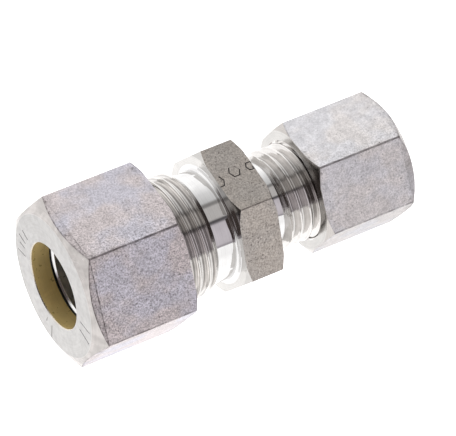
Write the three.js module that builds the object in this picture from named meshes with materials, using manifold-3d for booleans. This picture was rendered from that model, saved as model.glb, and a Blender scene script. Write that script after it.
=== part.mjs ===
// A straight reducing coupling for metal tube, in stainless steel: 12 mm tube to 8 mm tube.
// It is the 24 degree cone kind, DIN 2353 and ISO 8434-1, light series. Five pieces make it up:
// a body with a hexagon and two threaded studs, two union nuts and two cutting rings.
// Millimetres, X along the tubes with the small end at +X, Z up, the large nut lying on a flat.
import * as THREE from "three";
import { mergeVertices } from "three/addons/utils/BufferGeometryUtils.js";
import Module from "manifold-3d";

const wasm = await Module();
wasm.setup();

// ---- driving dimensions ----

// Each end: its tube, the bore behind the tube, and the stud's length out from the hexagon, of
// which the first stretch is the bare neck. The nut's flats and length, how far its outer face
// stands from the stud's end while it is loosely screwed on, the radii where its chamfers start
// on the outer and the open face, and how far its flats are turned about X.
const LARGE = {
  tube: 12,
  bore: 10,
  stud: 11,
  neck: 3.1,
  nutFlats: 22,
  nutLength: 15.5,
  standoff: 13.25,
  outerRim: 10.34,
  openRim: 11.7,
  clock: 0,
};
const SMALL = {
  tube: 8,
  bore: 6,
  stud: 10,
  neck: 2.6,
  nutFlats: 17,
  nutLength: 14.5,
  standoff: 12.1,
  outerRim: 7.99,
  openRim: 8.7,
  clock: -1.8,
};

const BODY_LENGTH = 27; // from stud end to stud end
const BODY_FLATS = 19;
const BODY_RIM = 10; // radius at which the hexagon's corners are chamfered
const BODY_CLOCK = 6.3; // degrees about X between the body's flats and the large nut's
const TUBE_STOP = 7; // depth of the stop shoulder in each stud
const CROSSOVER = 12; // depth at which the wide bore ends, from the large stud's end

// The threads are metric, 60 degrees and right-hand, with one pitch.
const PITCH = 1.5;
const THREAD_WALL = 3; // the thread's outer radius is the tube's radius and this
const ROOT_DEPTH = 0.92; // depth of the stud's thread
const MINOR_DEPTH = 0.72; // the nut's bore under its thread, below the thread's outer radius
const CREST_WIDTH = PITCH / 8;
const FLANK = Math.tan(Math.PI / 6);
const CREST_PLAY = 0.15; // room in the nut's thread outside the stud's crest
const FLANK_PLAY = 0.03; // and further room along X on each flank
const NECK_STEP = 0.2; // the bare neck is this much under the thread's root
const NECK_FILLET = 0.6;

// The seat, the nut's bore and the ring, as steps outwards from the tube's radius.
const CONE = Math.tan(Math.PI / 15); // 24 degrees over both sides
const MOUTH_STEP = 1;
const SOCKET_STEP = 0.05;
const NUT_BORE_STEP = 0.2;
const NUT_BORE_LENGTH = 3; // from the outer face to the 45 degree seat for the ring
const MOUTH_CHAMFER = 0.3;
const NUT_COUNTERSINK = 0.5; // outside the thread, at the open face
const RING_DEPTH = 3.4; // from the nut's outer face to the back of the ring
const RING_LENGTH = 9;
const RING_BORE = 0.08;
const RING_BACK = 0.39;
const RING_COLLAR = 1.6;
const RING_FRONT = 0.85;
const RING_TIP = 0.4;
const COLLAR_END = 4.2; // from the back of the ring to the front of its collar
const COLLAR_SHOULDER = 0.5;

const CHAMFER = Math.tan(Math.PI / 6); // hexagon chamfers, 30 degrees
const SEGMENTS = 32; // facets round a turned surface and in a turn of thread
const SPARE = 1; // how far a cutter runs past what it cuts
const SUNK = 0.04; // how deep a thread ridge sits in the surface it joins

// The body's stud ends, and which way each end faces.
const BODY_CENTRE = (LARGE.standoff - SMALL.standoff) / 2;
LARGE.face = BODY_CENTRE - BODY_LENGTH / 2;
LARGE.turn = Math.PI;
SMALL.face = BODY_CENTRE + BODY_LENGTH / 2;
SMALL.turn = 0;

// ---- geometry and solids ----

function toSolid(geometry) {
  geometry.deleteAttribute("normal");
  geometry.deleteAttribute("uv");
  const merged = mergeVertices(geometry, 1e-4);
  const mesh = new wasm.Mesh({
    numProp: 3,
    vertProperties: new Float32Array(merged.getAttribute("position").array),
    triVerts: new Uint32Array(merged.index.array),
  });
  return new wasm.Manifold(mesh);
}

function toGeometry(solid) {
  const mesh = solid.getMesh();
  const geometry = new THREE.BufferGeometry();
  geometry.setAttribute("position", new THREE.BufferAttribute(mesh.vertProperties, 3));
  geometry.setIndex(new THREE.BufferAttribute(mesh.triVerts, 1));
  const faceted = geometry.toNonIndexed();
  faceted.computeVertexNormals();
  return faceted;
}

// Turned about X. Each point of the profile is [x, radius]; the outside runs towards +X.
function turned(profile) {
  const points = profile.map(([x, radius]) => new THREE.Vector2(radius, x));
  return new THREE.LatheGeometry(points, SEGMENTS).rotateZ(-Math.PI / 2);
}

// A six-sided bar along X with flats up and down, then turned about X by clock degrees.
function hexBar(flats, from, to, clock) {
  const corner = flats / Math.sqrt(3);
  return new THREE.CylinderGeometry(corner, corner, to - from, 6, 1, false, Math.PI / 6)
    .rotateZ(-Math.PI / 2)
    .rotateX(THREE.MathUtils.degToRad(clock))
    .translate((from + to) / 2, 0, 0);
}

// The same bar with its corners chamfered, outside the radius given for each end.
function hexagon(flats, from, to, rimFrom, rimTo, clock) {
  const outside = (flats / Math.sqrt(3)) * 1.02;
  const envelope = turned([
    [from, 0],
    [from, rimFrom],
    [from + (outside - rimFrom) * CHAMFER, outside],
    [to - (outside - rimTo) * CHAMFER, outside],
    [to, rimTo],
    [to, 0],
  ]);
  return toSolid(hexBar(flats, from, to, clock)).intersect(toSolid(envelope));
}

// The ridge of a right-hand thread: a straight bar of trapezoid section wound round X, in whole
// turns from `from` until it has passed `to`. Its outer face has radius crest and this width.
function ridge(from, to, crest, root, crestWidth) {
  const turns = Math.ceil((to - from) / PITCH);
  const rootWidth = crestWidth + 2 * FLANK * (crest - root);
  const bar = new THREE.BoxGeometry(turns, 1, 1, turns * SEGMENTS, 1, 1);
  const place = bar.getAttribute("position");
  for (let i = 0; i < place.count; i += 1) {
    const turn = place.getX(i) + turns / 2;
    const outer = place.getY(i) > 0;
    const radius = outer ? crest : root;
    const across = place.getZ(i) * (outer ? crestWidth : rootWidth);
    const angle = 2 * Math.PI * turn;
    place.setXYZ(i, from + turn * PITCH - across, radius * Math.cos(angle), radius * Math.sin(angle));
  }
  return bar;
}

// ---- one end, with its origin at the stud's end and +X outwards ----

const tubeRadius = (end) => end.tube / 2;
const threadRadius = (end) => tubeRadius(end) + THREAD_WALL;

// Puts a shape made at one end into the body's frame.
const inBody = (geometry, end) => geometry.rotateZ(end.turn).translate(end.face, 0, 0);

// The stud, still solid, from its end back into the hexagon.
function stud(end) {
  const crest = threadRadius(end);
  const root = crest - ROOT_DEPTH;
  const neck = root - NECK_STEP;
  const threadEnd = end.neck - end.stud;
  const core = turned([
    [-end.stud - SPARE, 0],
    [-end.stud - SPARE, neck + NECK_FILLET],
    [-end.stud, neck + NECK_FILLET],
    [-end.stud + NECK_FILLET * 0.3, neck + NECK_FILLET * 0.3],
    [-end.stud + NECK_FILLET, neck],
    [threadEnd, neck],
    [threadEnd + NECK_STEP, root],
    [0, root],
    [0, 0],
  ]);
  const envelope = turned([
    [threadEnd, 0],
    [threadEnd, neck],
    [threadEnd + crest - neck, crest + SUNK],
    [root - crest, crest + SUNK],
    [0, root],
    [0, 0],
  ]);
  const thread = ridge(-6 * PITCH, 0, crest, root - SUNK, CREST_WIDTH);
  const trimmed = toSolid(inBody(thread, end)).intersect(toSolid(inBody(envelope, end)));
  return toSolid(inBody(core, end)).add(trimmed);
}

// The cone that the ring seats in and the tube's socket behind it, as a cutter.
function socket(end) {
  const mouth = tubeRadius(end) + MOUTH_STEP;
  const wall = tubeRadius(end) + SOCKET_STEP;
  const cutter = turned([
    [-TUBE_STOP, 0],
    [-TUBE_STOP, wall],
    [(wall - mouth) / CONE, wall],
    [SPARE, mouth + SPARE * CONE],
    [SPARE, 0],
  ]);
  return toSolid(inBody(cutter, end));
}

// The union nut. Its open face looks back at the hexagon, and its thread is in mesh.
function unionNut(end) {
  const outer = end.standoff;
  const open = outer - end.nutLength;
  const bore = tubeRadius(end) + NUT_BORE_STEP;
  const crest = threadRadius(end);
  const minor = crest - MINOR_DEPTH;
  const seat = outer - NUT_BORE_LENGTH;
  const seatEnd = seat - (minor - bore);
  const blank = hexagon(end.nutFlats, open, outer, end.openRim, end.outerRim, end.clock);
  const hole = turned([
    [open - SPARE, 0],
    [open - SPARE, crest + NUT_COUNTERSINK + SPARE],
    [open + NUT_COUNTERSINK + MINOR_DEPTH, minor],
    [seatEnd, minor],
    [seat, bore],
    [outer - MOUTH_CHAMFER, bore],
    [outer + SPARE, bore + MOUTH_CHAMFER + SPARE],
    [outer + SPARE, 0],
  ]);
  const start = Math.floor((open - SPARE) / PITCH) * PITCH;
  const width = CREST_WIDTH + 2 * FLANK_PLAY;
  const groove = ridge(start, seatEnd - 2 * PITCH, crest + CREST_PLAY, minor - SUNK, width);
  return blank.subtract(toSolid(hole).add(toSolid(groove)));
}

// The cutting ring: collar at the back, and a taper over two cutting edges at the front.
function cuttingRing(end) {
  const tube = tubeRadius(end);
  const back = end.standoff - RING_DEPTH;
  const tip = back - RING_LENGTH;
  const bore = tube + RING_BORE;
  const groove = bore + 0.14;
  return turned([
    [tip, bore],
    [tip, tube + RING_TIP],
    [tip + (RING_FRONT - RING_TIP) / CONE, tube + RING_FRONT],
    [back - COLLAR_END - COLLAR_SHOULDER, tube + RING_FRONT],
    [back - COLLAR_END, tube + RING_COLLAR],
    [back - (RING_COLLAR - RING_BACK), tube + RING_COLLAR],
    [back, tube + RING_BACK],
    [back, bore],
    [tip + 2.6, bore],
    [tip + 2.4, groove],
    [tip + 1.6, groove],
    [tip + 1.6, bore],
    [tip + 1.4, bore],
    [tip + 1.2, groove],
    [tip + 0.3, groove],
    [tip + 0.3, bore],
    [tip, bore],
  ]);
}

// ---- the body ----

function unionBody() {
  const from = LARGE.face + LARGE.stud;
  const to = SMALL.face - SMALL.stud;
  const middle = hexagon(BODY_FLATS, from, to, BODY_RIM, BODY_RIM, BODY_CLOCK);
  const crossover = LARGE.face + CROSSOVER;
  const wide = LARGE.bore / 2;
  const narrow = SMALL.bore / 2;
  const bores = turned([
    [LARGE.face + TUBE_STOP - SPARE, 0],
    [LARGE.face + TUBE_STOP - SPARE, wide],
    [crossover, wide],
    [crossover + (wide - narrow) * CHAMFER, narrow],
    [SMALL.face - TUBE_STOP + SPARE, narrow],
    [SMALL.face - TUBE_STOP + SPARE, 0],
  ]);
  const hollow = toSolid(bores).add(socket(LARGE)).add(socket(SMALL));
  return stud(LARGE).add(stud(SMALL)).add(middle).subtract(hollow);
}

// ---- the parts, named and placed ----

function part(name, geometry, color, roughness) {
  const material = new THREE.MeshStandardMaterial({ color, roughness, metalness: 0.9 });
  const mesh = new THREE.Mesh(geometry, material);
  mesh.name = name;
  return mesh;
}

function endGroup(prefix, end) {
  const group = new THREE.Group();
  group.position.x = end.face;
  group.rotation.z = end.turn;
  group.add(part(`${prefix}_union_nut`, toGeometry(unionNut(end)), 0xbdb8bc, 0.5));
  group.add(part(`${prefix}_cutting_ring`, cuttingRing(end), 0xd9d9d6, 0.25));
  return group;
}

const coupling = new THREE.Group();
coupling.add(part("union_body", toGeometry(unionBody()), 0xa8a09c, 0.35));
coupling.add(endGroup("large", LARGE));
coupling.add(endGroup("small", SMALL));

export default coupling;
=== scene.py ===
"""The looks of a reducing tube coupling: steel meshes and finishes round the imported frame."""

import math
from types import SimpleNamespace

import bmesh
import bpy
import numpy as np
from mathutils import Matrix, Vector


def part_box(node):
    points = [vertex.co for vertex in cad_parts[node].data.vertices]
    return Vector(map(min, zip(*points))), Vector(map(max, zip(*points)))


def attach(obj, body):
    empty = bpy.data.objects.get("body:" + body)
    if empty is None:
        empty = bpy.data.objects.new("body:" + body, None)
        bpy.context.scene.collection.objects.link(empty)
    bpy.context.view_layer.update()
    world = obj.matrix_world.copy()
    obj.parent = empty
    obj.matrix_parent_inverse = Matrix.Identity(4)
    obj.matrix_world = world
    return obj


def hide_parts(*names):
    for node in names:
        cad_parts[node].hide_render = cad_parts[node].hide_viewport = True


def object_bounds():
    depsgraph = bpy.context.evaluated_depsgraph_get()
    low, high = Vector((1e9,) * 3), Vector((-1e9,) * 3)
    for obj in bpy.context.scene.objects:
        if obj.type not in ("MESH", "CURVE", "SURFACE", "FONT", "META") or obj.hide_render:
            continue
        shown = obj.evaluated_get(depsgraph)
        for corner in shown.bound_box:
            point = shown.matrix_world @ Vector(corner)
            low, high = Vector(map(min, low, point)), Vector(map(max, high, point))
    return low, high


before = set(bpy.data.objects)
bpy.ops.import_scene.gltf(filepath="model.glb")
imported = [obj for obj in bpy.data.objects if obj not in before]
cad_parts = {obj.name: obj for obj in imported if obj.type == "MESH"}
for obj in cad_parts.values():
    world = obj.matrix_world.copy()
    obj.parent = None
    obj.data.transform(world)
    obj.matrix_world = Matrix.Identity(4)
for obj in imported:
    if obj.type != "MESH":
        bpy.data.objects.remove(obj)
CAD_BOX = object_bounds()

MM = 0.001  # the meshes are worked out in millimetres and made in metres

# ---- driving dimensions of the visible shape, millimetres ----

PITCH = 1.5
THREAD_WALL = 3.0
ROOT_DEPTH = 0.92
MINOR_DEPTH = 0.72
CREST_WIDTH = PITCH / 8
CREST_PLAY = 0.15
FLANK_PLAY = 0.03
FLANK = math.tan(math.radians(30))
CHAMFER = math.tan(math.radians(30))
CONE = math.tan(math.radians(12))
NECK_STEP = 0.2
NECK_FILLET = 0.6
TUBE_STOP = 7.0
CROSSOVER = 12.0
BODY_FLATS = 19.0
BODY_RIM = 10.0
BODY_CLOCK = 6.3
MOUTH_STEP = 1.0
SOCKET_STEP = 0.05
NUT_BORE_STEP = 0.2
NUT_BORE_LENGTH = 2.85
NUT_RUNOUT = 0.8
MOUTH_ROUND = 0.13
NUT_COUNTERSINK = 0.3

# ---- the two ends, with their places taken from the frame ----


def span(node):
    """The node's lowest and highest X, in millimetres."""
    low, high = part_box(node)
    return low.x / MM, high.x / MM


class End:
    """One end of the coupling. Its own frame starts at the stud's end, with +X outwards."""

    def __init__(self, prefix, sign, **sizes):
        self.prefix, self.sign = prefix, sign
        self.tube, self.bore = sizes["tube"] / 2, sizes["bore"] / 2
        self.stud, self.neck, self.rise = sizes["stud"], sizes["neck"], sizes["rise"]
        self.flats, self.clock = sizes["flats"], sizes["clock"]
        self.outer_rim, self.open_rim = sizes["outer_rim"], sizes["open_rim"]
        self.slope = math.tan(math.radians(sizes["chamfer"]))
        self.bevel = math.tan(math.radians(sizes["bevel"]))
        self.finish = f"{prefix}_flats"
        self.crest = self.tube + THREAD_WALL
        self.root = self.crest - ROOT_DEPTH
        self.neck_radius = self.root - NECK_STEP
        body_ends = span("union_body")
        self.face = body_ends[1] if sign > 0 else body_ends[0]
        self.open, self.outer = self.outwards(span(f"{prefix}_union_nut"))
        self.tip, self.back = self.outwards(span(f"{prefix}_cutting_ring"))

    def outwards(self, ends):
        """A pair of X in the row frame, as distances outwards from the stud's end."""
        return sorted((x - self.face) * self.sign for x in ends)

    def placed(self):
        """Carries a shape from the end's frame to the row frame: a half turn, never a mirror."""
        turn = Matrix.Rotation(0 if self.sign > 0 else math.pi, 4, "Z")
        return Matrix.Translation((self.face * MM, 0, 0)) @ turn


# Tube and bore are diameters. Rise is the slope at which the thread starts from the neck. Clock,
# chamfer and bevel are degrees: the nut's turn, its outer chamfer and the most its flats fall off.
LARGE = End(
    "large", -1, tube=12, bore=10, stud=11.0, neck=3.1, rise=1.0, flats=22.0, clock=0.0,
    outer_rim=10.34, open_rim=11.7, chamfer=30, bevel=9,
)
SMALL = End(
    "small", 1, tube=8, bore=6, stud=10.0, neck=2.6, rise=1.8, flats=17.0, clock=-1.8,
    outer_rim=8.35, open_rim=8.7, chamfer=36, bevel=6,
)

# ---- outlines: lists of [x, radius, rounding, finish of the stretch that starts here] ----

ROUND_STEPS = 3
SHORTEST_STRETCH = 1e-4
STRAIGHT_HALF_ANGLE = 1.55
END_SHARE = 0.88
THREAD_STRETCH = 0.13  # the longest straight stretch of a thread's outline
THREAD_ROUND = 0.05
STUD_ROOT_ROUND = 0.1


def soften(corners):
    """An outline with its corners rounded off, as points and the finish of each stretch."""
    points, finishes = [], []
    for i, (x, r, rounding, finish) in enumerate(corners):
        corner = np.array((x, r))
        if i in (0, len(corners) - 1) or rounding == 0:
            points.append(corner)
            finishes.append(finish)
            continue
        before, after = np.array(corners[i - 1][:2]), np.array(corners[i + 1][:2])
        points.extend(rounded_corner(before, corner, after, rounding))
        first_half = ROUND_STEPS // 2
        finishes.extend([corners[i - 1][3]] * first_half)
        finishes.extend([finish] * (ROUND_STEPS + 1 - first_half))
    return points, finishes


def rounded_corner(before, corner, after, radius):
    """ROUND_STEPS + 1 points of an arc in place of a corner. A short neighbour makes it tighter."""
    back, on = before - corner, after - corner
    lengths = np.linalg.norm(back), np.linalg.norm(on)
    if min(lengths) < SHORTEST_STRETCH:
        return [corner] * (ROUND_STEPS + 1)
    back, on = back / lengths[0], on / lengths[1]
    half = math.acos(float(np.clip(back @ on, -1, 1))) / 2
    if half > STRAIGHT_HALF_ANGLE:
        return [corner] * (ROUND_STEPS + 1)
    reach = min(radius / math.tan(half), 0.45 * min(lengths))
    centre = corner + (back + on) / np.linalg.norm(back + on) * reach / math.cos(half)
    start, end = corner + back * reach - centre, corner + on * reach - centre
    sweep = math.pi - 2 * half
    parts = np.linspace(0, 1, ROUND_STEPS + 1)
    return [
        centre + (math.sin((1 - t) * sweep) * start + math.sin(t * sweep) * end) / math.sin(sweep)
        for t in parts
    ]


def subdivided(points, longest):
    """The same line with its long stretches cut into shorter ones."""
    line = [points[0]]
    for a, b in zip(points, points[1:]):
        count = max(1, math.ceil(np.linalg.norm(b - a) / longest))
        line.extend(a + (b - a) * k / count for k in range(1, count + 1))
    return np.array(line)


def thread_line(start, end, tip, tip_width, base, base_round=THREAD_ROUND):
    """A thread's outline at angle 0, with a tip at each whole pitch, past both ends."""
    flank = abs(tip - base) * FLANK
    corners = []
    for k in range(math.floor(start / PITCH) - 2, math.ceil(end / PITCH) + 2):
        at = k * PITCH
        corners += [
            [at - tip_width / 2 - flank, base, base_round, "thread"],
            [at - tip_width / 2, tip, THREAD_ROUND, "thread"],
            [at + tip_width / 2, tip, THREAD_ROUND, "thread"],
            [at + tip_width / 2 + flank, base, base_round, "thread"],
        ]
    return subdivided(soften(corners)[0], THREAD_STRETCH)


def corner_arc(flats, rounding):
    """A hexagon corner's rounding: its centre's distance from the axis and its half angle there."""
    centre = (flats / 2 - rounding) / math.cos(math.pi / 6)
    return centre, math.atan2(rounding / 2, centre + rounding * math.cos(math.pi / 6))


def hex_radius(angle, flats, clock, rounding):
    """Distance from the axis to a hexagon with rounded corners, its flats up and down."""
    from_flat = (angle - math.radians(90 + clock) + math.pi / 6) % (math.pi / 3) - math.pi / 6
    from_corner = math.pi / 6 - abs(from_flat)
    centre, reach = corner_arc(flats, rounding)
    if from_corner > reach:
        return flats / 2 / math.cos(from_flat)
    off = centre * math.sin(from_corner)
    return centre * math.cos(from_corner) + math.sqrt(rounding**2 - off**2)


def hex_angles(count, flats, clock, rounding):
    """Even angles round the axis, with more at the rounded corners of a hexagon."""
    reach = corner_arc(flats, rounding)[1]
    corners = [math.radians(120 + clock) + k * math.pi / 3 for k in range(6)]
    extra = [c + reach * share for c in corners for share in (-2.5, -1, -0.5, 0, 0.5, 1, 2.5)]

    def clear_of_corners(angle):
        apart = [(angle - c + math.pi) % (2 * math.pi) - math.pi for c in corners]
        return all(abs(a) > 3 * reach for a in apart)

    kept = [a for a in even_angles(count) if clear_of_corners(a)]
    return sorted(kept + [a % (2 * math.pi) for a in extra])


def even_angles(count):
    return [2 * math.pi * i / count for i in range(count)]


def near_end(start, end):
    """A point near the end of a straight stretch, which keeps the rounding's shading off it."""
    return [a + (b - a) * END_SHARE for a, b in zip(start, end)]


# ---- meshes ----

FINISHES = {}
SHARP_ANGLE = math.radians(42)


def revolve(name, section, angles, finishes):
    """A closed mesh from the closed outline section(angle), swept once round the X axis."""
    angles = np.array(list(angles) + [angles[0] + 2 * math.pi])
    grid = np.array([section(a) for a in angles])
    count = grid.shape[1]
    x, r = grid[..., 0], grid[..., 1]
    turn = angles[:, None]
    points = np.stack([x, r * np.cos(turn), r * np.sin(turn)], -1).reshape(-1, 3) * MM
    used = sorted(set(finishes))
    faces, indices = [], []
    for j in range(len(angles) - 1):
        for i in range(count):
            k = (i + 1) % count
            faces.append((j * count + i, j * count + k, (j + 1) * count + k, (j + 1) * count + i))
            indices.append(used.index(finishes[i]))
    mesh = bpy.data.meshes.new(name)
    mesh.from_pydata(points.tolist(), [], faces)
    mesh.polygons.foreach_set("material_index", indices)
    for finish in used:
        mesh.materials.append(FINISHES[finish])
    weld(mesh)
    piece = bpy.data.objects.new(name, mesh)
    bpy.context.scene.collection.objects.link(piece)
    return piece


def weld(mesh):
    """Merges the doubled points, drops what has no area and turns all faces outwards."""
    work = bmesh.new()
    work.from_mesh(mesh)
    bmesh.ops.remove_doubles(work, verts=work.verts, dist=1e-6)
    bmesh.ops.dissolve_degenerate(work, edges=work.edges, dist=1e-7)
    bmesh.ops.recalc_face_normals(work, faces=work.faces)
    for face in work.faces:
        face.smooth = True
    work.to_mesh(mesh)
    work.free()
    mesh.set_sharp_from_angle(angle=SHARP_ANGLE)


def finish_shading(piece):
    """Large flat faces keep their own normals, and only the rounded edges bend the light."""
    weighted = piece.modifiers.new("flat_faces_stay_flat", "WEIGHTED_NORMAL")
    weighted.mode = "FACE_AREA"
    weighted.weight = 100
    weighted.keep_sharp = True


# ---- the body ----

BODY_ROUND = 0.12
BODY_TURNS = 204
FACE_STEP = 0.05  # the hexagon's faces stand back from the fillets' edges, over a short slope
FACE_STEP_START = 0.12
FACE_STEP_END = 0.2


def thread_at(line, angle, low, high, radius_low, radius_high, rise_low, rise_high):
    """A stud's thread at an angle, between two ends where it rises from the radii given."""
    x = np.clip(line[:, 0] + PITCH * angle / (2 * math.pi), low, high)
    limit = np.minimum(radius_low + (x - low) * rise_low, radius_high + (high - x) * rise_high)
    return np.stack([x, np.minimum(line[:, 1], limit)], -1)


def body_outline(angle, lines):
    """The body's closed outline at one angle, from the large mouth round to it again."""
    neck_left = LARGE.face + LARGE.stud - LARGE.neck
    neck_right = SMALL.face - SMALL.stud + SMALL.neck
    left_thread = thread_at(
        lines[0], angle, LARGE.face, neck_left, LARGE.root, LARGE.neck_radius, 1.0, LARGE.rise
    )
    right_thread = thread_at(
        lines[1], angle, neck_right, SMALL.face, SMALL.neck_radius, SMALL.root, SMALL.rise, 1.0
    )
    middle_points, middle_finishes = soften(body_middle(angle))
    inside_points, inside_finishes = soften(body_inside())
    points = [*left_thread, *middle_points, *right_thread, *inside_points]
    finishes = (
        ["thread"] * len(left_thread)
        + middle_finishes
        + ["thread"] * len(right_thread)
        + inside_finishes
    )
    return points, finishes


def body_middle(angle):
    """The necks and the hexagon between them."""
    hex_left, hex_right = LARGE.face + LARGE.stud, SMALL.face - SMALL.stud
    face_left, face_right = hex_left + FACE_STEP, hex_right - FACE_STEP
    radius = hex_radius(angle, BODY_FLATS, BODY_CLOCK, BODY_ROUND)
    rim = min(BODY_RIM, radius - 0.05)
    slope = (radius - rim) * CHAMFER
    neck_l, neck_r = LARGE.neck_radius, SMALL.neck_radius
    fillet_l, fillet_r = neck_l + NECK_FILLET, neck_r + NECK_FILLET
    return [
        [hex_left - LARGE.neck, neck_l, 0, "mirror"],
        [hex_left, neck_l, NECK_FILLET, "mirror"],
        [hex_left, fillet_l + FACE_STEP_START, 0.03, "mirror"],
        [face_left, fillet_l + FACE_STEP_END, 0.03, "hex_face"],
        [face_left, rim, 0.06, "hex_chamfer"],
        [*near_end((face_left, rim), (face_left + slope, radius)), 0, "hex_chamfer"],
        [face_left + slope, radius, 0.05, "drawn"],
        [face_right - slope, radius, 0.05, "hex_chamfer"],
        [*near_end((face_right, rim), (face_right - slope, radius)), 0, "hex_chamfer"],
        [face_right, rim, 0.06, "hex_face"],
        [face_right, fillet_r + FACE_STEP_END, 0.03, "mirror"],
        [hex_right, fillet_r + FACE_STEP_START, 0.03, "mirror"],
        [hex_right, neck_r, NECK_FILLET, "mirror"],
        [hex_right + SMALL.neck, neck_r, 0, "thread"],
    ]


def body_inside():
    """The mouths' cones, the tube sockets and the two bores, from the small end inwards."""
    left, right = LARGE.face, SMALL.face
    mouth_l, mouth_r = LARGE.tube + MOUTH_STEP, SMALL.tube + MOUTH_STEP
    wall_l, wall_r = LARGE.tube + SOCKET_STEP, SMALL.tube + SOCKET_STEP
    return [
        [right, SMALL.root, 0, "turned"],
        [right, mouth_r, 0.05, "turned"],
        [right - (mouth_r - wall_r) / CONE, wall_r, 0.1, "turned"],
        [right - TUBE_STOP, wall_r, 0.05, "turned"],
        [right - TUBE_STOP, SMALL.bore, 0.05, "turned"],
        [left + CROSSOVER + (LARGE.bore - SMALL.bore) * CHAMFER, SMALL.bore, 0.1, "turned"],
        [left + CROSSOVER, LARGE.bore, 0.1, "turned"],
        [left + TUBE_STOP, LARGE.bore, 0.05, "turned"],
        [left + TUBE_STOP, wall_l, 0.05, "turned"],
        [left + (mouth_l - wall_l) / CONE, wall_l, 0.1, "turned"],
        [left, mouth_l, 0.05, "turned"],
        [left, LARGE.root, 0, "thread"],
    ]


def make_body():
    large = thread_line(0, LARGE.stud, LARGE.crest, CREST_WIDTH, LARGE.root, STUD_ROOT_ROUND)
    large[:, 0] += LARGE.face - PITCH / 2
    small = thread_line(-SMALL.stud, 0, SMALL.crest, CREST_WIDTH, SMALL.root, STUD_ROOT_ROUND)
    small[:, 0] += SMALL.face
    lines = (large, small)
    angles = hex_angles(BODY_TURNS, BODY_FLATS, BODY_CLOCK, BODY_ROUND)
    finishes = body_outline(0.0, lines)[1]
    body = revolve("body_steel", lambda a: body_outline(a, lines)[0], angles, finishes)
    engrave(body, *body_marks(), "dark_mark")
    return body


# ---- the nuts ----

NUT_ROUND = 0.25
NUT_TURNS = 216
SCORE_DEPTH = 0.035
SCORE_WIDTH = 0.09
EDGE_BAND = 0.05
BEVEL_START = 0.03  # how far the flats' bevel starts inside the chamfer's corners
WEAR_MEAN, WEAR_SWING = 0.55, 0.45
JAW_ANGLE = math.radians(60)


def bevel_line(end):
    """X of the straight line that joins a flat's two corners at the nut's outer end."""
    corner = hex_radius(math.radians(120 + end.clock), end.flats, end.clock, NUT_ROUND)
    return end.outer - (corner - end.outer_rim) * end.slope - BEVEL_START


def vice_wear(angle):
    """How much of the bevel a flat has: most on the two that sat in the vice's jaws."""
    return WEAR_MEAN - WEAR_SWING * math.cos(2 * (angle - JAW_ANGLE))


def bevel_end(end, radius, angle):
    """Where a flat's slight end bevel runs into the chamfer cone: [x, radius]."""
    line = bevel_line(end)
    middle = math.radians(90 + end.clock)
    flat = middle + round((angle - middle) / (math.pi / 3)) * math.pi / 3
    fall = end.bevel * vice_wear(flat) / (end.flats / 2)
    reach = end.outer_rim + end.outer / end.slope - radius * (1 + fall * line)
    x = reach / (1 / end.slope - radius * fall)
    return x, radius * (1 - (x - line) * fall)


def nut_outline(end, angle, line):
    """The nut's closed outline at one angle, in the end's own frame."""
    radius = hex_radius(angle, end.flats, end.clock, NUT_ROUND)
    outer_rim, open_rim = end.outer_rim, min(end.open_rim, radius - 0.06)
    bore = end.tube + NUT_BORE_STEP
    minor = end.crest - MINOR_DEPTH
    seat = end.outer - NUT_BORE_LENGTH
    seat_end = seat - (minor - bore)
    thread_end = seat_end - NUT_RUNOUT
    bevel_x, bevel_radius = bevel_end(end, radius, angle)
    score = min(bevel_line(end), bevel_x)
    band = min(EDGE_BAND, 0.4 * (bevel_radius - outer_rim))
    open_x = end.open + (radius - open_rim) * CHAMFER
    outside = [
        [seat_end, minor, 0, "seat"],
        [seat, bore, 0.06, "bore"],
        [end.outer - MOUTH_ROUND, bore, 0.05, "rim"],
        [end.outer, bore + MOUTH_ROUND, 0.05, "face"],
        # This narrow stretch carries a painted highlight along the face's edge.
        [end.outer, outer_rim - EDGE_BAND, 0.05, "edge"],
        [end.outer - band * end.slope, outer_rim + band, 0.05, "outer_chamfer"],
        [*near_end((end.outer, outer_rim), (bevel_x, bevel_radius)), 0, "outer_chamfer"],
        [bevel_x, bevel_radius, 0.05, end.finish],
        [score, radius, 0.02, end.finish],
        [score - SCORE_WIDTH / 2, radius - SCORE_DEPTH, 0.02, end.finish],
        [score - SCORE_WIDTH, radius, 0.02, end.finish],
        [open_x, radius, 0.05, "chamfer"],
        [*near_end((end.open, open_rim), (open_x, radius)), 0, "chamfer"],
        [end.open, open_rim, 0.06, "open_face"],
        [end.open, end.crest + NUT_COUNTERSINK, 0, "thread"],
    ]
    x = np.clip(line[:, 0] + PITCH * angle / (2 * math.pi), end.open, thread_end)
    shallow = np.minimum(line[:, 1], minor + (thread_end - x))
    countersink = end.crest + NUT_COUNTERSINK - (x - end.open)
    thread = np.stack([x, np.maximum(shallow, countersink)], -1)
    points, finishes = soften(outside)
    return [*points, *thread], finishes + ["thread"] * len(thread)


def make_nut(end):
    minor = end.crest - MINOR_DEPTH
    width = CREST_WIDTH + 2 * FLANK_PLAY
    line = thread_line(end.open, end.outer, end.crest + CREST_PLAY, width, minor)
    angles = hex_angles(NUT_TURNS, end.flats, end.clock, NUT_ROUND)
    finishes = nut_outline(end, 0.0, line)[1]
    name = f"{end.prefix}_nut_steel"
    nut = revolve(name, lambda a: nut_outline(end, a, line)[0], angles, finishes)
    nut.data.transform(end.placed())
    if end is LARGE:
        engrave(nut, nut_marks(), (-1, 0, 0), "light_mark")
    return nut


# ---- stamped marks: plain strokes and outlines that stand for the real one's characters ----

MARK_WIDTH = 0.17
MARK_DEPTH = 0.09
LARGE_FACE_X = LARGE.face - LARGE.outer  # the large nut's outer face, in the row frame


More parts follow.
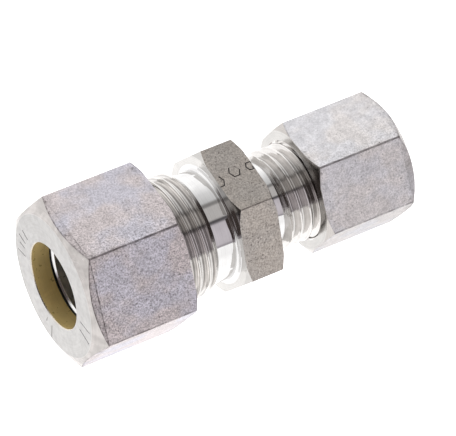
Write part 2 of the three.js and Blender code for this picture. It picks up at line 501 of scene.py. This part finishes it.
def groove(path, closed, normal):
    """Points and faces of a V-shaped cutter along a path on a surface."""
    count = len(path)
    rims = []
    for i, point in enumerate(path):
        before = path[i - 1] if closed or i > 0 else point
        after = path[(i + 1) % count] if closed or i < count - 1 else point
        ahead = (after - before) / np.linalg.norm(after - before)
        side = np.cross(normal, ahead)
        leg = point - before if closed or i > 0 else after - point
        leg = leg / np.linalg.norm(leg)
        half = MARK_WIDTH / 2 / max(0.3, abs(float(side @ np.cross(normal, leg))))
        over = 1.5  # the cutter's rims stand half the depth above the surface
        rims.append([point + side * half * over + normal * MARK_DEPTH * (over - 1),
                     point - side * half * over + normal * MARK_DEPTH * (over - 1),
                     point - normal * MARK_DEPTH])
    points = [corner for rim in rims for corner in rim]
    faces = []
    for i in range(count if closed else count - 1):
        a, b = 3 * i, 3 * ((i + 1) % count)
        faces += [(a + k, a + (k + 1) % 3, b + (k + 1) % 3, b + k) for k in range(3)]
    if not closed:
        faces += [(2, 1, 0), (3 * count - 3, 3 * count - 2, 3 * count - 1)]
    return points, faces


def engrave(piece, paths, normal, finish):
    """Cuts the marks into a piece. Each path is (points, closed)."""
    points, faces = [], []
    for path, closed in paths:
        more, sides = groove([np.array(p, float) for p in path], closed, np.array(normal, float))
        faces += [tuple(len(points) + k for k in side) for side in sides]
        points += more
    mesh = bpy.data.meshes.new("mark_cutter")
    mesh.from_pydata([tuple(p * MM) for p in points], [], faces)
    mesh.materials.append(FINISHES[finish])
    weld(mesh)
    cutter = bpy.data.objects.new("mark_cutter", mesh)
    bpy.context.scene.collection.objects.link(cutter)
    cut = piece.modifiers.new("marks", "BOOLEAN")
    cut.operation, cut.solver, cut.object = "DIFFERENCE", "EXACT", cutter
    cut.material_mode = "TRANSFER"
    bpy.context.view_layer.update()
    evaluated = piece.evaluated_get(bpy.context.evaluated_depsgraph_get())
    whole = piece.data
    piece.data = bpy.data.meshes.new_from_object(evaluated)
    piece.modifiers.clear()
    bpy.data.objects.remove(cutter)
    bpy.data.meshes.remove(whole)
    bpy.data.meshes.remove(mesh)
    weld(piece.data)


# (angle about the axis, distance of its inner end from the tube's wall, length)
NUT_STROKES = [
    (17, 1.5, 1.6),
    (7, 1.7, 1.9),
    (-1, 1.8, 1.3),
    (-11, 1.6, 2.1),
    (-82, 1.5, 0.8),
    (-92, 1.8, 2.2),
    (178, 1.3, 2.5),
    (190, 1.4, 2.6),
]


def nut_marks():
    """Radial tally strokes in groups on the large nut's outer face."""
    paths = []
    for degrees, start, length in NUT_STROKES:
        angle = math.radians(degrees)
        spoke = np.array((0, math.cos(angle), math.sin(angle)))
        inner = np.array((LARGE_FACE_X, 0, 0)) + spoke * (LARGE.tube + start)
        paths.append(([inner, inner + spoke * length], False))
    return paths


# (place along X, place across the flat, size, first corner, how many of its corners)
BODY_OUTLINES = [
    (-2.75, 0.1, 0.95, -1, 4),
    (0.1, -0.6, 0.95, 0, 5),
    (2.5, -0.5, 0.72, 0, 6),
]
OUTLINE_ASPECT = 0.85


def body_marks():
    """A row of small hexagon outlines, whole and open, along the body's upper flat."""
    turn = math.radians(90 + BODY_CLOCK)
    normal = np.array((0, math.cos(turn), math.sin(turn)))
    across = np.array((0, -math.sin(turn), math.cos(turn)))
    middle = (LARGE.face + LARGE.stud + SMALL.face - SMALL.stud) / 2
    paths = []
    for offset, side, size, first, count in BODY_OUTLINES:
        centre = np.array((middle + offset, 0, 0)) + normal * BODY_FLATS / 2 + across * side
        along = np.array((size * OUTLINE_ASPECT, 0, 0))
        turns = [math.pi / 3 * (first + k) for k in range(count)]
        ring = [centre + along * math.cos(a) + across * size * math.sin(a) for a in turns]
        paths.append((ring, count == 6))
    return paths, normal


# ---- the cutting rings ----

RING_TURNS = 180
RING_BORE = 0.08  # the bore, tip, front and collar are so far out from the tube's wall
RING_TIP = 0.4
RING_FRONT = 0.85
RING_COLLAR = 1.6
RING_BACK_STEP = 0.19  # the back is so far out from the nut's bore
COLLAR_END = 4.2
COLLAR_SHOULDER = 0.5
SEAT_GAP = 0.39
BACK_EDGE = 0.04
BACK_CHAMFER = 0.28
GROOVE_DEPTH = 0.14
GROOVE_SLOPE = 0.2
# (start from the ring's tip, end, rounding) of the two grooves behind the cutting edges
RING_GROOVES = [(1.6, 2.6, 0.03), (0.3, 1.4, 0.02)]


def ring_outline(end):
    """The ring's closed outline, in the end's own frame."""
    bore = end.tube + RING_BORE
    front, collar = end.tube + RING_FRONT, end.tube + RING_COLLAR
    seat_end = end.outer - NUT_BORE_LENGTH - SEAT_GAP
    back = end.tube + NUT_BORE_STEP + RING_BACK_STEP
    corners = [
        [end.tip, bore, 0, "ring"],
        [end.tip, end.tube + RING_TIP, 0.04, "ring"],
        [end.tip + (RING_FRONT - RING_TIP) / CONE, front, 0.3, "ring"],
        [end.back - COLLAR_END - COLLAR_SHOULDER, front, 0.15, "ring"],
        [end.back - COLLAR_END, collar, 0.1, "ring"],
        [seat_end - (collar - back), collar, 0.15, "ring"],
        [seat_end, back, 0.03, "ring"],
        [seat_end - BACK_EDGE, back - 0.03, 0.03, "ring"],
        [seat_end - BACK_CHAMFER, bore, 0.1, "ring_bore"],
    ]
    for start, stop, rounding in RING_GROOVES:
        corners += [
            [end.tip + stop, bore, rounding, "ring_bore"],
            [end.tip + stop - GROOVE_SLOPE, bore + GROOVE_DEPTH, 0.03, "ring_bore"],
            [end.tip + start, bore + GROOVE_DEPTH, 0.03, "ring_bore"],
            [end.tip + start, bore, 0, "ring_bore"],
        ]
    corners[-1][3] = "ring"
    return soften(corners)


def make_ring(end):
    points, finishes = ring_outline(end)
    name = f"{end.prefix}_ring_steel"
    ring = revolve(name, lambda a: points, even_angles(RING_TURNS), finishes)
    ring.data.transform(end.placed())
    return ring


# ---- finishes ----


class Nodes:
    """A node tree with short calls for what the finishes and the studio need."""

    def __init__(self, tree):
        self.tree = tree

    def new(self, kind):
        return self.tree.nodes.new(kind)

    def plug(self, socket, value):
        """Links an output to a socket, or sets the socket to a number, a colour or a vector."""
        if isinstance(value, bpy.types.NodeSocket):
            self.tree.links.new(value, socket)
        elif socket.type == "RGBA" and len(value) == 3:
            socket.default_value = (*value, 1)
        else:
            socket.default_value = value

    def maths(self, operation, *values):
        node = self.new("ShaderNodeMath")
        node.operation = operation
        for socket, value in zip(node.inputs, values):
            self.plug(socket, value)
        return node.outputs[0]

    def times(self, *values):
        """The product of two or more values."""
        product = values[0]
        for value in values[1:]:
            product = self.maths("MULTIPLY", product, value)
        return product

    def highest(self, *values):
        """The highest of two or more values."""
        top = values[0]
        for value in values[1:]:
            top = self.maths("MAXIMUM", top, value)
        return top

    def distance(self, a, b):
        """The length of a vector with two coordinates."""
        return self.maths("SQRT", self.maths("ADD", self.times(a, a), self.times(b, b)))

    def scaled(self, vector, factors):
        node = self.new("ShaderNodeVectorMath")
        node.operation = "MULTIPLY"
        self.plug(node.inputs[0], vector)
        self.plug(node.inputs[1], factors)
        return node.outputs[0]

    def split(self, vector):
        node = self.new("ShaderNodeSeparateXYZ")
        self.plug(node.inputs[0], vector)
        return node.outputs

    def ranged(self, value, low, high, to_low=0.0, to_high=1.0):
        """A smooth step of the value from low to high, limited at both ends."""
        node = self.new("ShaderNodeMapRange")
        node.interpolation_type = "SMOOTHSTEP"
        for socket, number in zip(node.inputs, (value, low, high, to_low, to_high)):
            self.plug(socket, number)
        return node.outputs[0]

    def within(self, value, low, high, soft):
        """1 between low and high, falling to 0 over a soft width outside them."""
        rise = self.ranged(value, low - soft, low)
        fall = self.ranged(value, high, high + soft, 1.0, 0.0)
        return self.times(rise, fall)

    def mix(self, share, a, b, blend="MIX"):
        node = self.new("ShaderNodeMix")
        node.data_type = "RGBA"
        node.blend_type = blend
        colour_inputs = [i for i in node.inputs if i.type == "RGBA"]
        self.plug(node.inputs[0], share)
        self.plug(colour_inputs[0], a)
        self.plug(colour_inputs[1], b)
        return [o for o in node.outputs if o.type == "RGBA"][0]

    def shaded(self, colour, shade):
        """The colour times a grey value that varies over the surface."""
        node = self.new("ShaderNodeCombineColor")
        for socket in node.inputs:
            self.plug(socket, shade)
        return self.mix(1.0, colour, node.outputs[0], "MULTIPLY")


class Steel(Nodes):
    """A metal finish that is worked out from the place on the object, in millimetres."""

    def __init__(self, name, metallic=1.0):
        self.material = bpy.data.materials.new(name)
        self.material.use_nodes = True
        super().__init__(self.material.node_tree)
        self.shader = self.tree.nodes["Principled BSDF"]
        self.shader.inputs["Metallic"].default_value = metallic
        place = self.new("ShaderNodeTexCoord").outputs["Object"]
        self.place = self.scaled(place, (1 / MM,) * 3)
        self.x, y, z = self.split(self.place)
        self.radius = self.distance(y, z)
        self.angle = self.maths("ARCTAN2", z, y)

    def noise(self, scale, detail=3.0, stretch=(1, 1, 1), rough=0.5):
        node = self.new("ShaderNodeTexNoise")
        self.plug(node.inputs["Vector"], self.scaled(self.place, stretch))
        node.inputs["Scale"].default_value = scale
        node.inputs["Detail"].default_value = detail
        node.inputs["Roughness"].default_value = rough
        return node.outputs["Fac"]

    def line_noise(self, along, scale, detail=2.0):
        node = self.new("ShaderNodeTexNoise")
        node.noise_dimensions = "1D"
        self.plug(node.inputs["W"], along)
        node.inputs["Scale"].default_value = scale
        node.inputs["Detail"].default_value = detail
        return node.outputs["Fac"]

    def pits(self, per_mm, size, share):
        """Small round marks, 1 inside: one per cell of a loose grid, in a share of the cells."""
        node = self.new("ShaderNodeTexVoronoi")
        self.plug(node.inputs["Vector"], self.place)
        node.inputs["Scale"].default_value = per_mm
        chosen = self.ranged(self.split(node.outputs["Color"])[0], share, share + 0.02, 1.0, 0.0)
        wobble = self.ranged(self.noise(6.0, 1), 0.3, 0.7, 0.5, 1.5)
        near = self.times(node.outputs["Distance"], wobble)
        spot = self.ranged(near, size * per_mm * 0.5, size * per_mm, 1.0, 0.0)
        return self.times(spot, chosen)

    def bump(self, height, depth_mm, normal=None):
        node = self.new("ShaderNodeBump")
        node.inputs["Strength"].default_value = 1.0
        node.inputs["Distance"].default_value = depth_mm * MM
        self.plug(node.inputs["Height"], height)
        if normal is not None:
            self.plug(node.inputs["Normal"], normal)
        return node.outputs[0]

    def finish(self, colour, roughness, normal):
        self.plug(self.shader.inputs["Base Color"], colour)
        self.plug(self.shader.inputs["Roughness"], roughness)
        self.plug(self.shader.inputs["Normal"], normal)
        return self.material


def grey(level, tint=(1, 1, 1)):
    return tuple(level * t for t in tint)


# The last colour darkens the flats' real pits and dirt, and also stands for their painted shade and
# painted corner reflections.
COOL, WARM, BLACKENED = (0.955, 0.98, 1.07), (1.03, 0.985, 0.975), (0.09, 0.075, 0.075)
OPEN_BORDER = 0.2  # the width of the dirt along a nut's open end

# How strongly the flats are clouded, patched, grained and pitted. The oxide leaves a share, grazing,
# of the light that clean steel throws back at a low angle. The nuts also have dirt along their edges.
# score and bevel set how dark the nuts' painted shade is along the score line and on the bevel band.
BODY_LOOK = SimpleNamespace(
    clouds=0.2, patches=0.06, patch_scale=0.55, grain=0.3, pitted=0.35, grazing=0.8,
)
LARGE_LOOK = SimpleNamespace(
    clouds=0.9, patches=0.10, patch_scale=0.55, grain=0.40, pitted=0.45, grazing=1.0,
    dirt=0.9, score=0.9, border=0.26, bevel=0.16,
)
SMALL_LOOK = SimpleNamespace(
    clouds=0.45, patches=0.12, patch_scale=0.9, grain=0.24, pitted=0.06, grazing=0.55,
    dirt=0.6, score=0.06, border=0.45, bevel=0.26,
)


def bar_steel(s, level, tint, look, edges, coarse=1.0):
    """Colour, roughness and relief of a hexagon's flats: clouded, grained and finely pitted."""
    cool = grey(level, [a * (1 + (b - 1) * look.clouds) for a, b in zip(tint, COOL)])
    warm = grey(level, [a * (1 + (b - 1) * look.clouds) for a, b in zip(tint, WARM)])
    cloud = s.ranged(s.noise(0.17, 2, (1, 1.2, 1.2)), 0.40, 0.60)
    colour = s.mix(cloud, cool, warm)
    patch = s.noise(look.patch_scale, 4, rough=0.6)
    patch = s.ranged(patch, 0.34, 0.66, 1.0 - look.patches, 1.0 + 0.4 * look.patches)
    grain = s.noise(4.2, 4, rough=0.75)
    speckle = s.ranged(grain, 0.36, 0.64, -look.grain, look.grain * 0.6)
    speckle = s.maths("MULTIPLY_ADD", speckle, coarse, 1.0)
    colour = s.shaded(colour, s.times(patch, speckle))
    fine = s.times(s.pits(2.6, 0.12, look.pitted), 0.5)
    deep = s.times(s.pits(0.55, 0.13, 0.3), 0.85)
    pits = s.times(s.highest(fine, deep), coarse)
    # The edges mask holds painted corner reflections and painted shade, and on the nuts also dirt.
    colour = s.mix(s.highest(pits, edges), colour, BLACKENED)
    rough = s.ranged(grain, 0.3, 0.7, 0.52, 0.40)
    normal = s.bump(grain, 0.04)
    normal = s.bump(s.maths("SUBTRACT", 1.0, pits), 0.04, normal)
    s.plug(s.shader.inputs["Specular Tint"], grey(look.grazing))
    return s.finish(colour, rough, normal)


def corner_edges(s, flats, clock, rounding, width, strength):
    """A painted dark reflection along a hexagon's six rounded corners, of uneven width and darkness.
    """
    corner = hex_radius(math.radians(120 + clock), flats, clock, rounding)
    wander = s.ranged(s.noise(0.8, 3), 0.3, 0.7, -width * 0.3, width * 0.15)
    reach = s.maths("ADD", s.radius, wander)
    line = s.ranged(reach, corner - width, corner - width * 0.45, 0.0, strength)
    return s.times(line, s.ranged(s.noise(0.45, 4), 0.38, 0.6, 0.45, 1.0))


def wear_by_angle(s):
    """vice_wear() of each point of the surface."""
    twice = s.maths("MULTIPLY_ADD", s.angle, 2.0, -2 * JAW_ANGLE)
    return s.maths("MULTIPLY_ADD", s.maths("COSINE", twice), -WEAR_SWING, WEAR_MEAN)


def to_chamfers(s, end, along):
    """Distances along X to the outer and to the open end's chamfer cone."""
    outer_apex = end.outer + end.outer_rim * end.slope
    open_apex = end.open - end.open_rim * CHAMFER
    outer_cone = s.maths("ADD", along, s.times(s.radius, end.slope))
    open_cone = s.maths("ADD", s.times(s.radius, CHAMFER), open_apex)
    to_outer = s.maths("SUBTRACT", outer_apex, outer_cone)
    return to_outer, s.maths("SUBTRACT", along, open_cone)


def nut_flats(end, level, tint, look):
    """The pickled flats of a nut, with painted dark reflections along the corners, painted shade
    along the score line and on the bevel band, and dirt along the chamfers.
    """
    s = Steel(f"{end.prefix}_nut_pickled_steel")
    along = s.maths("MULTIPLY_ADD", s.x, end.sign, -end.face * end.sign)
    wear = wear_by_angle(s)
    wander = s.ranged(s.noise(1.1, 3), 0.35, 0.65, 0.3, 1.0)
    # Painted dark reflection along the nut's rounded corners.
    corners = s.times(corner_edges(s, end.flats, end.clock, NUT_ROUND, 0.08, 0.9), wear)
    line = bevel_line(end)
    # Painted shade along the score line, on top of its shallow groove.
    score = s.times(s.within(along, line - 0.10, line + 0.02, 0.06), wander, look.score, wear)
    to_outer, to_open = to_chamfers(s, end, along)
    outer_border = s.ranged(to_outer, 0.02, look.border, 1.0, 0.0)
    open_border = s.ranged(to_open, 0.02, OPEN_BORDER, 1.0, 0.0)
    border = s.times(s.highest(outer_border, open_border), wander, look.dirt)
    near_ends = s.ranged(s.maths("MINIMUM", to_outer, to_open), 0.2, 1.8, 1.0, 0.0)
    smudge = s.times(s.ranged(s.noise(1.3, 4), 0.56, 0.72, 0.0, 0.8 * look.dirt), near_ends)
    # Painted shade on each flat's tilted bevel band, deepest on the most bevelled flats.
    bevel = s.times(s.ranged(along, line - 0.02, line + 0.02, 0.0, look.bevel), wear)
    edges = s.highest(corners, score, border, bevel, smudge)
    return bar_steel(s, level, tint, look, edges, s.ranged(wear, 0.0, 1.0, 0.45, 1.0))


def body_flats():
    """The body's flats as drawn and barely cleaned: brownish grey with a leathery grain."""
    s = Steel("body_drawn_steel")
    # Painted dark reflection along the body's rounded corners.
    edges = corner_edges(s, BODY_FLATS, BODY_CLOCK, BODY_ROUND, 0.05, 0.55)
    return bar_steel(s, 0.425, (1.05, 0.965, 0.88), BODY_LOOK, edges)


# The tool's lines on a thread: (lines in a pitch, strength), their contrast and their mean tone.
TOOL_LINES = ((3, 0.3), (4, 0.3), (7, 0.4))
LARGE_CONTRAST, SMALL_CONTRAST = 0.36, 0.08
LARGE_TONE, SMALL_TONE = 0.94, 0.95


def thread_steel(name, level, tint, roughness):
    """A cut thread: fine tool lines that run along its turns, worked out from the helix, and painted
    shade in its roots.
    """
    s = Steel(name)
    along = s.maths("MULTIPLY_ADD", s.x, 2 * math.pi / PITCH, s.times(s.angle, -1.0))
    lines = 0.0
    for waves, strength in TOOL_LINES:
        wave = s.maths("SINE", s.times(along, float(waves)))
        lines = s.maths("MULTIPLY_ADD", wave, strength, lines)
    on_large = s.maths("GREATER_THAN", s.radius, (SMALL.crest + LARGE.root) / 2)
    contrast = s.maths("MULTIPLY_ADD", on_large, LARGE_CONTRAST - SMALL_CONTRAST, SMALL_CONTRAST)
    middle = s.maths("MULTIPLY_ADD", on_large, LARGE_TONE - SMALL_TONE, SMALL_TONE)
    tone = s.maths("MULTIPLY_ADD", lines, contrast, middle)
    patch = s.ranged(s.noise(0.9, 3), 0.35, 0.65, 0.92, 1.0)
    crest = s.maths("MULTIPLY_ADD", on_large, LARGE.crest - SMALL.crest, SMALL.crest)
    depth = s.maths("SUBTRACT", crest, s.radius)
    # Painted shade in the thread's roots: darker towards the bottom of the groove.
    roots = s.ranged(depth, ROOT_DEPTH * 0.45, ROOT_DEPTH, 1.0, 0.82)
    colour = s.shaded(grey(level, tint), s.times(tone, patch, roots))
    rough = s.ranged(s.noise(1.5, 3), 0.3, 0.7, roughness * 0.8, roughness * 1.2)
    return s.finish(colour, rough, s.bump(lines, 0.0035))


def turned_steel(name, level, tint, roughness, line_depth, across=False, metallic=1.0, mottle=0.07):
    """Machined steel with the tool's fine rings, spaced along X or across the radius."""
    s = Steel(name, metallic)
    along = s.radius if across else s.x
    lines = s.line_noise(along, 4.0)
    tone = s.ranged(s.noise(0.5, 3), 0.35, 0.65, 1.0 - mottle, 1.0)
    rings = s.ranged(lines, 0.3, 0.7, 0.96, 1.02)
    colour = s.shaded(grey(level, tint), s.times(tone, rings))
    rough = s.ranged(s.noise(1.5, 3), 0.3, 0.7, roughness * 0.8, roughness * 1.2)
    return s.finish(colour, rough, s.bump(lines, line_depth))


def make_finishes():
    """Every finish by the name that the outlines give it."""
    warm, neutral = (1.0, 0.975, 0.945), (1.0, 0.99, 0.985)
    FINISHES["mirror"] = turned_steel("bright_turned_steel", 0.68, neutral, 0.06, 0.0015)
    FINISHES["hex_face"] = turned_steel("hexagon_face_steel", 0.54, warm, 0.10, 0.0015, True)
    FINISHES["hex_chamfer"] = turned_steel("hexagon_chamfer_steel", 0.50, warm, 0.08, 0.001)
    FINISHES["thread"] = thread_steel("cut_thread_steel", 0.70, (1.0, 0.97, 0.945), 0.12)
    FINISHES["turned"] = turned_steel("inner_turned_steel", 0.55, warm, 0.22, 0.003)
    # The seat behind the ring is painted very dark: painted shade in the gap between the nut and the
    # ring's back.
    FINISHES["seat"] = turned_steel("seat_painted_shade_steel", 0.12, warm, 0.4, 0.003)
    FINISHES["ring"] = turned_steel("ring_turned_steel", 0.70, neutral, 0.14, 0.002)
    FINISHES["ring_bore"] = turned_steel("ring_bore_steel", 0.62, warm, 0.34, 0.004)
    FINISHES["open_face"] = turned_steel("nut_open_face_steel", 0.48, warm, 0.18, 0.002, True)
    FINISHES["outer_chamfer"] = turned_steel(
        "outer_chamfer_steel", 0.535, (1.0, 0.945, 0.915), 0.33, 0.002, True, mottle=0.2
    )
    # A painted highlight: the narrow stretch between the face and the outer chamfer is a little
    # brighter than both.
    FINISHES["edge"] = turned_steel("painted_highlight_edge_steel", 0.56, (1.0, 0.965, 0.94), 0.35, 0.001)
    FINISHES["rim"] = turned_steel("mouth_rim_steel", 0.58, (1.0, 0.92, 0.79), 0.25, 0.001)
    FINISHES["bore"] = turned_steel(
        "waxed_bore_steel", 0.80, (1.0, 0.79, 0.36), 0.34, 0.004, metallic=0.35
    )
    FINISHES["face"] = turned_steel("matt_face_steel", 0.50, (1.0, 0.98, 0.965), 0.42, 0.004, True)
    FINISHES["chamfer"] = turned_steel("chamfer_steel", 0.47, (1.0, 0.95, 0.91), 0.14, 0.002, True)
    FINISHES["dark_mark"] = turned_steel("dark_mark_steel", 0.10, warm, 0.4, 0.002)
    FINISHES["light_mark"] = turned_steel("light_mark_steel", 0.20, warm, 0.4, 0.002)
    FINISHES["drawn"] = body_flats()
    FINISHES[LARGE.finish] = nut_flats(LARGE, 0.612, (1.02, 0.965, 0.98), LARGE_LOOK)
    FINISHES[SMALL.finish] = nut_flats(SMALL, 0.735, (1.005, 0.98, 0.975), SMALL_LOOK)


make_finishes()

# ---- building the coupling ----


def mount(piece, body, node):
    finish_shading(piece)
    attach(piece, body)
    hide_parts(node)


mount(make_body(), "fitting_body", "union_body")
for coupling_end in (LARGE, SMALL):
    side = coupling_end.prefix
    mount(make_nut(coupling_end), f"{side}_nut", f"{side}_union_nut")
    mount(make_ring(coupling_end), f"{side}_ring", f"{side}_cutting_ring")

# ---- floor, light and camera ----

# The floor is in metres. Its glow falls from the first value to the second over the fade: the
# brighter glow near the middle is a painted pool of light under the object.
FLOOR_HALF = 3.0
FLOOR_GAP = 0.00002
TABLE_GLOW = (1.4, 1.15)
TABLE_GLOW_FADE = (0.015, 0.05)


def make_floor():
    """A plain, pale, glowing table top under the lowest flat of the large nut, with a painted pool of
    light round the object.
    """
    level = CAD_BOX[0][2] - FLOOR_GAP
    corners = [(-1, -1), (1, -1), (1, 1), (-1, 1)]
    points = [(x * FLOOR_HALF, y * FLOOR_HALF, level) for x, y in corners]
    mesh = bpy.data.meshes.new("floor")
    mesh.from_pydata(points, [], [(0, 1, 2, 3)])
    floor = bpy.data.objects.new("floor", mesh)
    bpy.context.scene.collection.objects.link(floor)
    material = bpy.data.materials.new("white_table_with_painted_light_pool")
    material.use_nodes = True
    shader = material.node_tree.nodes["Principled BSDF"]
    shader.inputs["Base Color"].default_value = (0.4, 0.4, 0.4, 1)
    shader.inputs["Roughness"].default_value = 0.9
    shader.inputs["Emission Color"].default_value = (1, 1, 1, 1)
    nodes = Nodes(material.node_tree)
    x, y, _ = nodes.split(nodes.new("ShaderNodeTexCoord").outputs["Object"])
    glow = nodes.ranged(nodes.distance(x, y), *TABLE_GLOW_FADE, *TABLE_GLOW)
    nodes.plug(shader.inputs["Emission Strength"], glow)
    mesh.materials.append(material)


# The studio round the object: (angle about X from +Y, brightness, tint) of long soft panels.
WHITE, GREIGE, LILAC = (1, 1, 1), (1, 0.965, 0.945), (1, 0.935, 0.995)
STUDIO = [
    (-180, 1.4, WHITE),
    (36, 1.5, WHITE),
    (52, 1.2, WHITE),
    (66, 0.92, WHITE),
    (84, 0.75, WHITE),
    (89, 0.3, GREIGE),
    (93, 0.3, GREIGE),
    (97, 0.62, GREIGE),
    (121, 0.62, GREIGE),
    (125, 0.12, LILAC),
    (129, 0.12, LILAC),
    (133, 0.69, LILAC),
    (152, 0.77, LILAC),
    (174, 0.72, LILAC),
    (177, 0.45, LILAC),
    (180, 0.5, LILAC),
]
DARK_ROOM = (0.10, 0.08, 0.075)
# The dark room is in front, above the table's edge and below the overhead panels, but not where the
# lilac panel stands. These are the smooth steps of a direction's x, y and z at its edges.
PANEL_X = (0.2, 0.55, 0.2)
ROOM_BACK_Y = (0.25, 0.55)
ROOM_FOOT_Z = (0.05, 0.13)
ROOM_TOP_Z = (0.72, 0.87)


def studio_ramp(nodes, y, z):
    """The panels' light by the angle about X."""
    angle = nodes.maths("ARCTAN2", z, y)
    ramp = nodes.new("ShaderNodeValToRGB")
    nodes.plug(ramp.inputs[0], nodes.maths("MULTIPLY_ADD", angle, 1 / (2 * math.pi), 0.5))
    stops = ramp.color_ramp.elements
    brightest = max(brightness for _, brightness, _ in STUDIO)
    while len(stops) < len(STUDIO):
        stops.new(0.5)
    for stop, (degrees, brightness, tint) in zip(stops, STUDIO):
        stop.position = (degrees + 180) / 360
        stop.color = (*(brightness / brightest * c for c in tint), 1)
    return nodes.scaled(ramp.outputs[0], (brightest,) * 3)


def make_studio():
    """Soft panels behind and above; a lilac one to the camera's right; dark room beside it."""
    world = bpy.data.worlds.new("studio")
    bpy.context.scene.world = world
    world.use_nodes = True
    nodes = Nodes(world.node_tree)
    x, y, z = nodes.split(nodes.new("ShaderNodeTexCoord").outputs["Generated"])
    beside_panel = nodes.maths("SUBTRACT", 1.0, nodes.within(x, *PANEL_X))
    front = nodes.ranged(y, *ROOM_BACK_Y, 1.0, 0.0)
    above_foot = nodes.ranged(z, *ROOM_FOOT_Z)
    below_top = nodes.ranged(z, *ROOM_TOP_Z, 1.0, 0.0)
    dark = nodes.times(beside_panel, front, above_foot, below_top)
    colour = nodes.mix(dark, studio_ramp(nodes, y, z), DARK_ROOM)
    nodes.plug(world.node_tree.nodes["Background"].inputs["Color"], colour)


CAMERA_PLACE = (-226.6, -323.2, 433.6)
CAMERA_LENS = 339.6
# Azimuth, elevation and roll, from a level view along +Y.
CAMERA_ANGLES = (-35.18, 47.66, 5.71)


def make_camera():
    """The photograph's view: from the large end, above and in front, with a long lens."""
    azimuth, elevation, roll = (math.radians(v) for v in CAMERA_ANGLES)
    data = bpy.data.cameras.new("camera")
    data.sensor_width = 36.0
    data.lens = CAMERA_LENS
    data.clip_start = 0.01
    camera = bpy.data.objects.new("camera", data)
    aim = Matrix.Rotation(azimuth, 4, "Z") @ Matrix.Rotation(math.pi / 2 - elevation, 4, "X")
    aim = aim @ Matrix.Rotation(roll, 4, "Z")
    camera.matrix_world = Matrix.Translation(Vector(CAMERA_PLACE) * MM) @ aim
    bpy.context.scene.collection.objects.link(camera)
    bpy.context.scene.camera = camera


make_floor()
make_studio()
make_camera()
bpy.context.scene.view_settings.view_transform = "Standard"

# ---- the scene brought up to date ----

bpy.context.view_layer.update()
